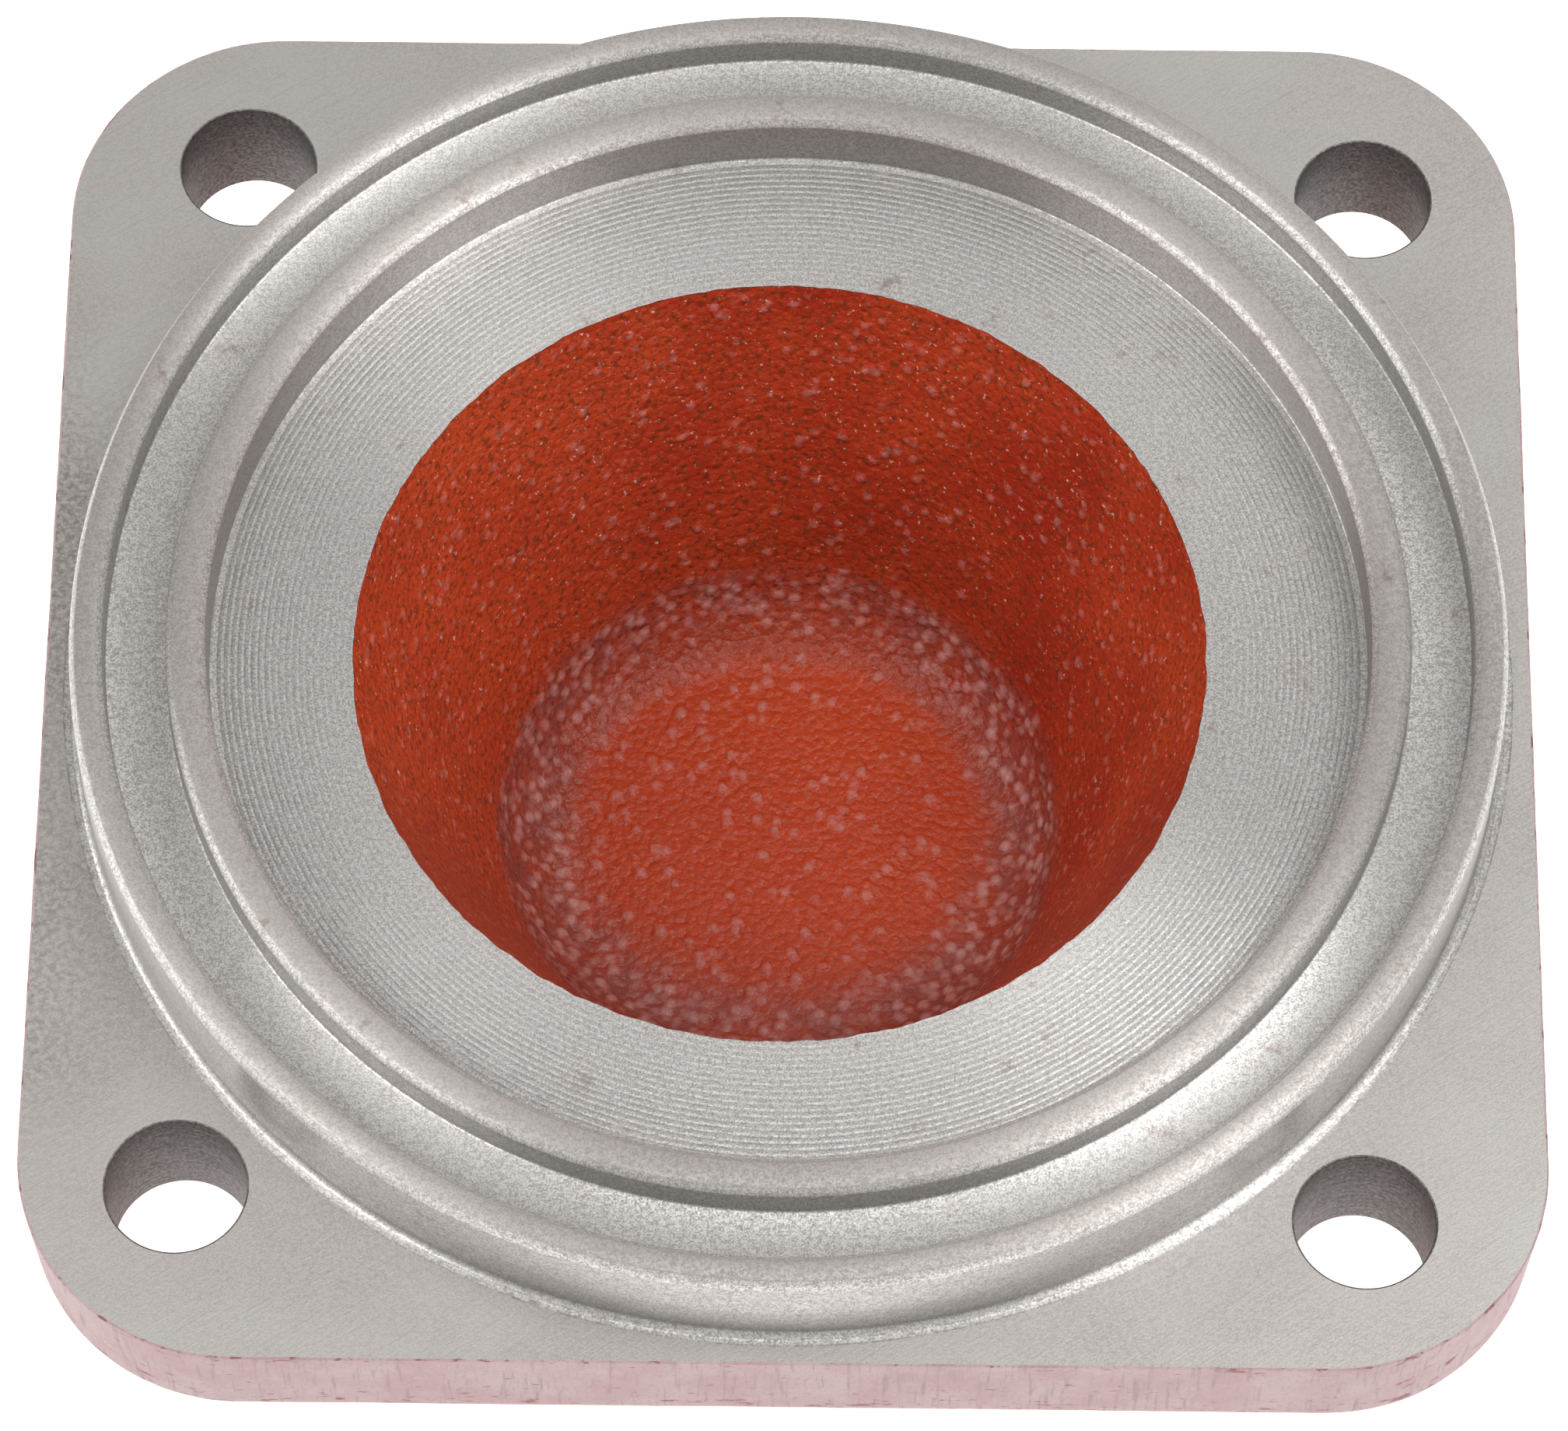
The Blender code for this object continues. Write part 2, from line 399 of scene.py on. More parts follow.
def spigot_profile():
    """From the seat's rim up the recess's wall, over both lands and the groove, down to the foot."""
    chamfered = LAND - LAND_CHAMFER
    profile = broken_edges(
        [
            (SEAT_RIM, SEAT),
            (RECESS_RADIUS - RECESS_CORNER, SEAT),
            (RECESS_RADIUS, SEAT + RECESS_CORNER),
            (RECESS_RADIUS, chamfered),
            (RECESS_RADIUS + LAND_CHAMFER, LAND),
            (GROOVE_INNER_RADIUS - LAND_CHAMFER, LAND),
            (GROOVE_INNER_RADIUS, chamfered),
            (GROOVE_INNER_RADIUS, GROOVE + GROOVE_CORNER),
            (GROOVE_INNER_RADIUS + GROOVE_CORNER, GROOVE),
            (GROOVE_OUTER_RADIUS - GROOVE_CORNER, GROOVE),
            (GROOVE_OUTER_RADIUS, GROOVE + GROOVE_CORNER),
            (GROOVE_OUTER_RADIUS, chamfered),
            (GROOVE_OUTER_RADIUS + LAND_CHAMFER, LAND),
            (SPIGOT_RADIUS - OUTER_CHAMFER_WIDTH, LAND),
            (SPIGOT_RADIUS, LAND - OUTER_CHAMFER_DROP),
            (SPIGOT_RADIUS, PLATE_TOP + FOOT_RADIUS),
        ],
        EDGE_BREAK,
    )
    foot_center = (SPIGOT_RADIUS + FOOT_RADIUS, PLATE_TOP + FOOT_RADIUS)
    profile += arc(foot_center, FOOT_RADIUS, math.pi, 1.5 * math.pi, FOOT_STEPS)[1:]
    profile.append((SPIGOT_RADIUS + FOOT_RADIUS + FOOT_APRON, PLATE_TOP))
    return profile


def add_metal_under_primer(shell, mouth, mouth_loop):
    """A thin lip at the mouth, then the hollow's cast wall and floor."""
    wall, corner = bowl_profile(METAL_OFFSET, METAL_CORNER_STEPS)
    under_lip = SEAT - UNDER_LIP_DEPTH
    loops = [
        mouth_loop,
        shell.loop(ring(mouth, SEAT - LIP_DEPTH, TURNED_POINTS, HOLLOW_CENTER)),
        shell.loop(ring(wall(under_lip), under_lip, TURNED_POINTS, HOLLOW_CENTER)),
    ]
    loops += [shell.loop(ring(r, z, TURNED_POINTS, HOLLOW_CENTER)) for r, z in corner]
    shell.skin(loops, RED)
    shell.cap(loops[-1], (*HOLLOW_CENTER, HOLLOW_FLOOR - METAL_OFFSET), RED)


def add_drilled_hole(shell, center):
    """One hole, with broken edges at both faces. Gives its rims on the plate's two faces."""
    steps = [
        (HOLE_RADIUS + HOLE_APRON, PLATE_TOP),
        (HOLE_RADIUS + HOLE_EDGE_BREAK, PLATE_TOP),
        (HOLE_RADIUS + HOLE_EDGE_FACET, PLATE_TOP - HOLE_EDGE_FACET),
        (HOLE_RADIUS, PLATE_TOP - HOLE_EDGE_BREAK),
        (HOLE_RADIUS, UNDERSIDE + HOLE_COUNTERSINK),
        (HOLE_RADIUS + HOLE_COUNTERSINK, UNDERSIDE),
        (HOLE_RADIUS + HOLE_APRON, UNDERSIDE),
    ]
    rims = [shell.loop(ring(r, z, HOLE_POINTS, center)) for r, z in steps]
    shell.bridge(rims[0], rims[1], GROUND)
    shell.skin(rims[1:6], DRILLED)
    shell.bridge(rims[5], rims[6], RED)
    return rims[0], rims[6]


def add_plate_side(shell):
    """A ragged machined corner, a drafted side and a rounded back edge. Gives the faces' outlines."""
    apron = shell.loop(rounded_square(TOP_APRON, PLATE_TOP))
    top_edge = shell.loop(pressed_in(rounded_square(TOP_EDGE_BREAK, PLATE_TOP), *RAGGED_EDGE))
    shell.bridge(apron, top_edge, GROUND)
    straight_bottom = UNDERSIDE + BACK_EDGE_RADIUS
    straight_heights = np.linspace(PLATE_TOP - TOP_EDGE_BREAK, straight_bottom, SIDE_LOOPS)
    steps = [((PLATE_TOP - height) * math.tan(DRAFT), height) for height in straight_heights]
    inset = steps[-1][0]
    for a in np.linspace(0, math.pi / 2, BACK_EDGE_STEPS + 1)[1:]:
        drawn_in = inset + BACK_EDGE_RADIUS * (1 - math.cos(a))
        steps.append((drawn_in, straight_bottom - BACK_EDGE_RADIUS * math.sin(a)))
    side = [shell.loop(pressed_in(rounded_square(*step), *SIDE_RELIEF)) for step in steps]
    shell.skin([top_edge] + side, PINK)
    back_apron = shell.loop(rounded_square(inset + BACK_EDGE_RADIUS + BACK_APRON, UNDERSIDE))
    shell.bridge(side[-1], back_apron, RED)
    return apron, back_apron


def add_dished_back(shell):
    """A root fillet, the wall, the bottom corner and the rest pad. Gives the dish's rim."""
    wall, corner = bowl_profile(HOLLOW_FLOOR, DISH_CORNER_STEPS)
    turn = math.pi / 2 - HOLLOW_DRAFT
    root_radius = wall(UNDERSIDE) + DISH_ROOT_RADIUS * math.tan(turn / 2)
    root_center = (root_radius, UNDERSIDE - DISH_ROOT_RADIUS)
    root = arc(root_center, DISH_ROOT_RADIUS, math.pi / 2, math.pi / 2 + turn, DISH_ROOT_STEPS)
    wall_top, wall_foot = Vector(root[-1]), Vector(corner[0])
    wall_steps = [tuple(wall_top.lerp(wall_foot, n / DISH_WALL_STEPS)) for n in range(1, DISH_WALL_STEPS)]
    rim, *relieved = [(root_radius + DISH_APRON, UNDERSIDE)] + root + wall_steps + corner
    loops = [shell.loop(ring(*rim, TURNED_POINTS)), shell.loop(ring(*relieved[0], TURNED_POINTS))]
    for r, z in relieved[1:]:
        loops.append(shell.loop(pressed_in(ring(r, z, TURNED_POINTS), *DISH_RELIEF)))
    shell.skin(loops, RED)
    shell.cap(loops[-1], (0.0, 0.0, 0.0), RED)
    return loops[0]


def casting_shell():
    shell = Shell()
    mouth = mouth_radius()
    turned = seat_loops(shell, mouth)
    turned += [shell.loop(ring(r, z, TURNED_POINTS)) for r, z in spigot_profile()[1:]]
    shell.skin(turned, TURNED)
    add_metal_under_primer(shell, mouth, turned[0])
    bolts = [np.mean(OPENINGS[f"bolt_hole_{n}"], axis=0)[:2] for n in range(1, 5)]
    hole_tops, hole_bottoms = zip(*(add_drilled_hole(shell, center) for center in bolts))
    apron, back_apron = add_plate_side(shell)
    dish_rim = add_dished_back(shell)
    # The plate's two faces lie between those loops.
    shell.sheet(apron, [turned[-1], *hole_tops], GROUND)
    shell.sheet(back_apron, [dish_rim, *hole_bottoms], RED)
    return shell


# ---------------------------------------------------------------- the primer film


def pebble(point):
    """The primed cast surface at a point: its height, and how far up a pebble it is.

    Pebbles crowd the ring where the wall meets the floor. Elsewhere only a few stand alone.
    """
    p = Vector(point)
    reach = math.hypot(p.x - FLOOR_MIDDLE[0], p.y - FLOOR_MIDDLE[1])
    above = p.z - HOLLOW_FLOOR
    crowd = way(reach, RING_REACH, RING_REACH + 4 * MM) * way(above, RING_TOP + 3.2 * MM, RING_TOP)
    distances, seeds = noise.voronoi(p / PEBBLE_SPACING)
    width = LOW_PEBBLE_WIDTH if above < HIGH_PEBBLES_ABOVE else HIGH_PEBBLE_WIDTH
    dome = max(0.0, 1 - (distances[0] / width) ** 2)
    # Each pebble has a chance of its own, from where its seed lies.
    chance = noise.noise(seeds[0] * 2.7)
    crowded = crowd * (0.5 + 0.5 * way(chance, *CROWDED_CHANCE))
    alone = LONE_PEBBLE_SHARE * way(chance, *LONE_CHANCE)
    top = dome * max(crowded, alone)
    grain = 0.2 - noise.voronoi(p / GRAIN_SPACING)[0][0] ** 2
    swell = noise.noise(p / SWELL_SPACING)
    return PEBBLE_HEIGHT * top + GRAIN_HEIGHT * grain + SWELL_HEIGHT * swell, top


def film_profile():
    """The film's inner profile, from just under the rim down the wall and in to the floor's middle."""
    wall, corner = bowl_profile(0.0, COAT_CORNER_STEPS)
    rim_height = SEAT - COAT_RIM_DROP
    top, foot = Vector((wall(rim_height), rim_height)), Vector(corner[0])
    profile = [tuple(top.lerp(foot, n / COAT_WALL_STEPS)) for n in range(1, COAT_WALL_STEPS)]
    radius, height = corner[-1]
    inwards = [(radius * (1 - n / COAT_FLOOR_STEPS), height) for n in range(1, COAT_FLOOR_STEPS)]
    return profile + corner + inwards


def coat_shell():
    """The primer film lining the hollow: a pebbled inner face and a plain back."""
    shell = Shell()
    turn = angles(COAT_POINTS)
    mouth = np.interp(turn, angles(TURNED_POINTS), mouth_radius(), period=2 * math.pi)
    rim = ring(mouth - COAT_RIM_INSET, SEAT - COAT_RIM_DROP, COAT_POINTS, HOLLOW_CENTER)
    loops = [shell.loop(rim)]
    profile = film_profile()
    for n, (r, z) in enumerate(profile):
        before = Vector(profile[max(n - 1, 0)])
        after = Vector(profile[min(n + 1, len(profile) - 1)])
        along = (after - before).normalized()
        # The profile runs down and inwards, so this normal points into the hollow.
        inwards, upwards = along.y, -along.x
        fade = min(1.0, (n + 1) / COAT_FADE_LOOPS)
        points = ring(r, z, COAT_POINTS, HOLLOW_CENTER)
        tops = []
        for a, p in zip(turn, points):
            height, top = pebble(p)
            lift = fade * height
            p += (lift * inwards * math.cos(a), lift * inwards * math.sin(a), lift * upwards)
            tops.append(fade * top)
        loops.append(shell.loop(points, tops))
    shell.skin(loops, 0)
    middle = (*HOLLOW_CENTER, HOLLOW_FLOOR)
    shell.cap(loops[-1], (*HOLLOW_CENTER, HOLLOW_FLOOR + pebble(middle)[0]), 0)

    back_wall, back_corner = bowl_profile(COAT_THICKNESS, COAT_BACK_CORNER_STEPS)
    back_top = SEAT - COAT_BACK_DROP
    back = [loops[0], shell.loop(ring(back_wall(back_top), back_top, COAT_POINTS, HOLLOW_CENTER))]
    back += [shell.loop(ring(r, z, COAT_POINTS, HOLLOW_CENTER)) for r, z in back_corner]
    shell.skin(back, 0)
    shell.cap(back[-1], (*HOLLOW_CENTER, HOLLOW_FLOOR - COAT_THICKNESS), 0)
    return shell


# ---------------------------------------------------------------- materials

# Colours, in linear light. A pair holds the darkest and the lightest of a grain.
TURNED_GRAIN = ((0.40, 0.386, 0.373), (0.74, 0.722, 0.706))
GROOVE_SHADE = (0.235, 0.222, 0.212)
WALL_SHADE_GREY = (0.215, 0.200, 0.192)
LAND_GREY = (0.45, 0.415, 0.385)
LAND_STAIN = (0.27, 0.18, 0.15)
GROUND_GRAIN = ((0.41, 0.388, 0.373), (0.55, 0.527, 0.510))
GROUND_CLOUD = (0.60, 0.585, 0.565)
GROUND_SCRATCH = (0.32, 0.305, 0.295)
EDGE_MOTTLE = (0.185, 0.160, 0.150)
DRILLED_GRAIN = ((0.075, 0.070, 0.067), (0.205, 0.195, 0.188))
PINK_PATCHES = ((0.37, 0.243, 0.247), (0.42, 0.315, 0.315))
PINK_STREAK = (0.22, 0.165, 0.17)
PINK_SPECK = (0.25, 0.16, 0.165)
OLDER_RED = (0.19, 0.045, 0.048)
PRIMER_CLOUDS = ((0.33, 0.024, 0.009), (0.43, 0.047, 0.014))
PRIMER_PIT = (0.12, 0.034, 0.012)
HOLLOW_FAR_SHADE = (0.20, 0.017, 0.008)
HOLLOW_LEFT_LIGHT = (0.62, 0.085, 0.026)
HOLLOW_NEAR_SHADE = (0.20, 0.035, 0.022)
FLOOR_ORANGE = (0.45, 0.048, 0.009)
FLOOR_CORNER_SHADE = (0.22, 0.026, 0.009)
RING_SHADE_MAROON = (0.25, 0.064, 0.052)
PEEL_ORANGE = (0.58, 0.125, 0.030)
PALE_GLINT = (0.80, 0.55, 0.48)
PEBBLE_HIGHLIGHT = (0.66, 0.37, 0.34)
BACK_DUST = (0.45, 0.22, 0.20)
RUBBED_PAD = (0.30, 0.20, 0.18)
STUDIO_FLOOR = ((0.90, 0.90, 0.90), (0.94, 0.94, 0.94))
WHITE = (1.0, 1.0, 1.0, 1.0)

GRINDING_SLANT = math.radians(35)


class Nodes:
    """Short names for building a node tree."""

    def __init__(self, name):
        self.material = bpy.data.materials.new(name)
        self.material.use_nodes = True
        self.tree = self.material.node_tree
        self.shader = self.tree.nodes["Principled BSDF"]

    def link(self, source, target):
        if isinstance(source, (int, float)):
            target.default_value = source
        elif isinstance(source, tuple):
            target.default_value = source if len(source) == len(target.default_value) else (*source, 1.0)
        else:
            self.tree.links.new(source, target)

    def node(self, kind, **settings):
        made = self.tree.nodes.new(kind)
        for key, value in settings.items():
            setattr(made, key, value)
        return made

    def place(self):
        return self.node("ShaderNodeTexCoord").outputs["Object"]

    def math(self, operation, a, b=0.0):
        made = self.node("ShaderNodeMath", operation=operation)
        self.link(a, made.inputs[0])
        self.link(b, made.inputs[1])
        return made.outputs[0]

    def times(self, first, *others):
        for other in others:
            first = self.math("MULTIPLY", first, other)
        return first

    def vector(self, operation, a, b=(0.0, 0.0, 0.0)):
        made = self.node("ShaderNodeVectorMath", operation=operation)
        self.link(a, made.inputs[0])
        self.link(b, made.inputs[1])
        return made.outputs["Value" if operation in ("LENGTH", "DOT_PRODUCT") else "Vector"]

    def combine(self, x, y, z):
        made = self.node("ShaderNodeCombineXYZ")
        for value, socket in zip((x, y, z), made.inputs):
            self.link(value, socket)
        return made.outputs[0]

    def split(self, vector):
        made = self.node("ShaderNodeSeparateXYZ")
        self.link(vector, made.inputs[0])
        return made.outputs

    def noise(self, vector, scale, detail=2.0, roughness=0.5):
        made = self.node("ShaderNodeTexNoise")
        self.link(vector, made.inputs["Vector"])
        made.inputs["Scale"].default_value = scale
        made.inputs["Detail"].default_value = detail
        made.inputs["Roughness"].default_value = roughness
        return made.outputs["Fac"]

    def stretched_noise(self, vector, scales, detail, roughness=0.5):
        """Noise with a scale of its own along each axis."""
        return self.noise(self.vector("MULTIPLY", vector, scales), 1.0, detail, roughness)

    def moved_noise(self, vector, shift, scale, detail, roughness):
        """Noise read elsewhere, so that it doesn't follow the other layers."""
        return self.noise(self.vector("ADD", vector, shift), scale, detail, roughness)

    def domes(self, vector, scale):
        """Rounded pebbles: 1 in the middle of each and lower between them."""
        made = self.node("ShaderNodeTexVoronoi", feature="F1")
        self.link(vector, made.inputs["Vector"])
        made.inputs["Scale"].default_value = scale
        return self.math("SUBTRACT", 1.0, self.math("POWER", made.outputs["Distance"], 2.0))

    def ramp(self, value, low, high, out_low=0.0, out_high=1.0):
        made = self.node("ShaderNodeMapRange", clamp=True)
        self.link(value, made.inputs["Value"])
        made.inputs["From Min"].default_value = low
        made.inputs["From Max"].default_value = high
        made.inputs["To Min"].default_value = out_low
        made.inputs["To Max"].default_value = out_high
        return made.outputs["Result"]

    def mix(self, factor, a, b):
        made = self.node("ShaderNodeMix", data_type="RGBA")
        self.link(factor, made.inputs["Factor"])
        self.link(a, made.inputs[6])
        self.link(b, made.inputs[7])
        return made.outputs[2]

    def bump(self, height, distance, normal=None):
        made = self.node("ShaderNodeBump")
        made.inputs["Strength"].default_value = 1.0
        made.inputs["Distance"].default_value = distance
        self.link(height, made.inputs["Height"])
        if normal is not None:
            self.link(normal, made.inputs["Normal"])
        return made.outputs["Normal"]

    def finish(self, color, roughness, normal, metallic, **fixed):
        self.link(color, self.shader.inputs["Base Color"])
        self.link(roughness, self.shader.inputs["Roughness"])
        self.link(normal, self.shader.inputs["Normal"])
        self.shader.inputs["Metallic"].default_value = metallic
        for key, value in fixed.items():
            self.shader.inputs[key.replace("_", " ")].default_value = value
        return self.material


def radial_tangent(n):
    """The lay of the tool marks: round the turned axis."""
    return n.node("ShaderNodeTangent", direction_type="RADIAL", axis="Z").outputs[0]


def sandy(n, place, grains):
    """Fine light and dark grain of bare cast iron, a quarter of a millimetre across."""
    fine = n.noise(place, 5200.0, 1.0, 0.5)
    coarse = n.noise(place, 2100.0, 2.0, 0.6)
    grain = n.math("ADD", n.times(fine, 0.6), n.times(coarse, 0.4))
    return grain, n.mix(n.ramp(grain, 0.40, 0.60), *grains)


def feed_lines(n, place, radius, height):
    """Painted shade: a broken dark line in the valley of each feed mark of the seat."""
    feed = n.math("FRACT", n.math("DIVIDE", n.math("SUBTRACT", SEAT_RIM, radius), FEED))
    line = n.ramp(n.math("ABSOLUTE", n.math("SUBTRACT", feed, 0.5)), 0.02, 0.22, 1.0, 0.0)
    low = n.ramp(height, SEAT + 0.02 * MM, SEAT + 0.1 * MM, 1.0, 0.0)
    outwards = n.ramp(radius, 46 * MM, 54 * MM, 0.2, 0.75)
    broken = n.ramp(n.noise(place, 420.0, 3.0, 0.65), 0.35, 0.6, 0.25, 0.9)
    return n.times(line, n.times(low, outwards), broken)


def turned_iron():
    n = Nodes("turned_iron")
    place = n.place()
    x, y, z = n.split(place)
    flat = n.combine(x, y, 0.0)
    radius = n.vector("LENGTH", flat)
    round_x, round_y = n.split(n.vector("NORMALIZE", flat))[:2]
    # Fine tool marks: fast across the radius and the height, slow round the axis.
    marks_place = n.combine(round_x, round_y, n.math("ADD", radius, z))
    marks = n.stretched_noise(marks_place, (5.0, 5.0, 5200.0), 2.0)
    grain, tone = sandy(n, place, TURNED_GRAIN)
    # Painted shade along the feed marks' valleys.
    tone = n.mix(feed_lines(n, place, radius, z), tone, GROOVE_SHADE)
    # Painted shade on the upright walls, darkest on the recess's wall.
    up = n.split(n.node("ShaderNodeTexCoord").outputs["Normal"])[2]
    wall = n.ramp(n.math("ABSOLUTE", up), 0.15, 0.6, 1.0, 0.0)
    wall_shade = n.times(wall, n.ramp(radius, 59 * MM, 61 * MM, 0.58, 0.38))
    tone = n.mix(wall_shade, tone, WALL_SHADE_GREY)
    # The lands are duller and warmer, with small brown stains.
    on_land = n.ramp(z, LAND - 0.25 * MM, LAND - 0.05 * MM)
    tone = n.mix(n.times(on_land, 0.6), tone, LAND_GREY)
    stain = n.ramp(n.moved_noise(place, (0.3, 0.1, 0.0), 240.0, 4.0, 0.7), 0.64, 0.74)
    tone = n.mix(n.times(stain, 0.6), tone, LAND_STAIN)
    edge_duller = n.ramp(z, LAND - 0.9 * MM, LAND - 0.5 * MM, 0.0, 0.10)
    roughness = n.math("ADD", n.ramp(grain, 0.35, 0.65, 0.44, 0.28), edge_duller)
    normal = n.bump(marks, 0.010 * MM)
    normal = n.bump(grain, 0.018 * MM, normal)
    n.link(radial_tangent(n), n.shader.inputs["Tangent"])
    return n.finish(tone, roughness, normal, 0.95, Anisotropic=0.85, Anisotropic_Rotation=0.25)


def ground_iron():
    n = Nodes("ground_iron")
    place = n.place()
    x, y = n.split(place)[:2]
    # Grinding scratches run slantwise across the plate.
    cos, sin = math.cos(GRINDING_SLANT), math.sin(GRINDING_SLANT)
    along = n.vector("DOT_PRODUCT", place, (cos, sin, 0.0))
    across = n.vector("DOT_PRODUCT", place, (-sin, cos, 0.0))
    scratches = n.stretched_noise(n.combine(along, across, 0.0), (120.0, 3600.0, 1.0), 3.0, 0.6)
    grain, tone = sandy(n, place, GROUND_GRAIN)
    cloud = n.noise(place, 40.0, 3.0, 0.55)
    tone = n.mix(n.ramp(cloud, 0.35, 0.65, 0.0, 0.4), tone, GROUND_CLOUD)
    tone = n.mix(n.ramp(scratches, 0.60, 0.70, 0.0, 0.35), tone, GROUND_SCRATCH)
    # Dull brownish mottling along the left edge.
    from_left = n.math("ADD", x, n.times(cloud, 20 * MM))
    near_edge = n.ramp(from_left, -70 * MM, -54 * MM, 1.0, 0.0)
    mid_edge = n.ramp(n.math("ABSOLUTE", n.math("ADD", y, 8 * MM)), 30 * MM, 56 * MM, 1.0, 0.0)
    mottle = n.ramp(n.moved_noise(place, (0.1, 0.7, 0.0), 1500.0, 3.0, 0.65), 0.40, 0.62)
    tone = n.mix(n.times(near_edge, mid_edge, mottle, 0.75), tone, EDGE_MOTTLE)
    roughness = n.ramp(grain, 0.35, 0.65, 0.50, 0.36)
    normal = n.bump(scratches, 0.012 * MM)
    normal = n.bump(grain, 0.022 * MM, normal)
    return n.finish(tone, roughness, normal, 0.92)


def drilled_iron():
    n = Nodes("drilled_iron")
    place = n.place()
    marks = n.stretched_noise(place, (200.0, 200.0, 4200.0), 3.0, 0.6)
    speckle = n.noise(place, 2600.0, 3.0, 0.65)
    tone = n.mix(n.ramp(speckle, 0.35, 0.65), *DRILLED_GRAIN)
    normal = n.bump(marks, 0.05 * MM)
    normal = n.bump(speckle, 0.05 * MM, normal)
    return n.finish(tone, n.ramp(marks, 0.3, 0.7, 0.42, 0.6), normal, 0.85)


def pink_primer():
    n = Nodes("worn_pink_primer")
    place = n.place()
    z = n.split(place)[2]
    # Upright scratches: fast round the edge, slow up and down.
    streaks = n.stretched_noise(place, (1900.0, 1900.0, 110.0), 3.0, 0.6)
    patches = n.noise(place, 150.0, 4.0, 0.65)
    flecks = n.stretched_noise(place, (420.0, 420.0, 1300.0), 3.0, 0.6)
    grain = n.noise(place, 2600.0, 2.0, 0.6)
    tone = n.mix(n.ramp(patches, 0.38, 0.60), *PINK_PATCHES)
    tone = n.mix(n.ramp(streaks, 0.30, 0.46, 0.6, 0.0), tone, PINK_STREAK)
    tone = n.mix(n.ramp(grain, 0.32, 0.46, 0.35, 0.0), tone, PINK_SPECK)
    # Dark-red flecks where the older coat shows, along the top edge and low on the side.
    edges = n.ramp(z, PLATE_TOP - 2.2 * MM, PLATE_TOP - 0.2 * MM, 0.0, 0.09)
    low = n.ramp(z, UNDERSIDE + 3 * MM, UNDERSIDE + 9 * MM, 0.09, 0.0)
    worn = n.ramp(n.math("ADD", flecks, n.math("ADD", edges, low)), 0.67, 0.72)
    tone = n.mix(n.times(worn, 0.8), tone, OLDER_RED)
    normal = n.bump(streaks, 0.05 * MM)
    normal = n.bump(patches, 0.2 * MM, normal)
    return n.finish(tone, n.ramp(patches, 0.3, 0.7, 0.5, 0.7), normal, 0.0, Specular_IOR_Level=0.3)


def red_primer(name):
    """The red primer's common layers: its tree, its colour, its bumped normal and its fine grain."""
    n = Nodes(name)
    place = n.place()
    peel = n.noise(place, 1300.0, 3.0, 0.6)
    cloud = n.noise(place, 55.0, 3.0, 0.5)
    tone = n.mix(n.ramp(cloud, 0.35, 0.65), *PRIMER_CLOUDS)
    normal = n.bump(n.domes(place, 1150.0), 0.16 * MM)
    normal = n.bump(peel, 0.22 * MM, normal)
    return n, tone, normal, peel


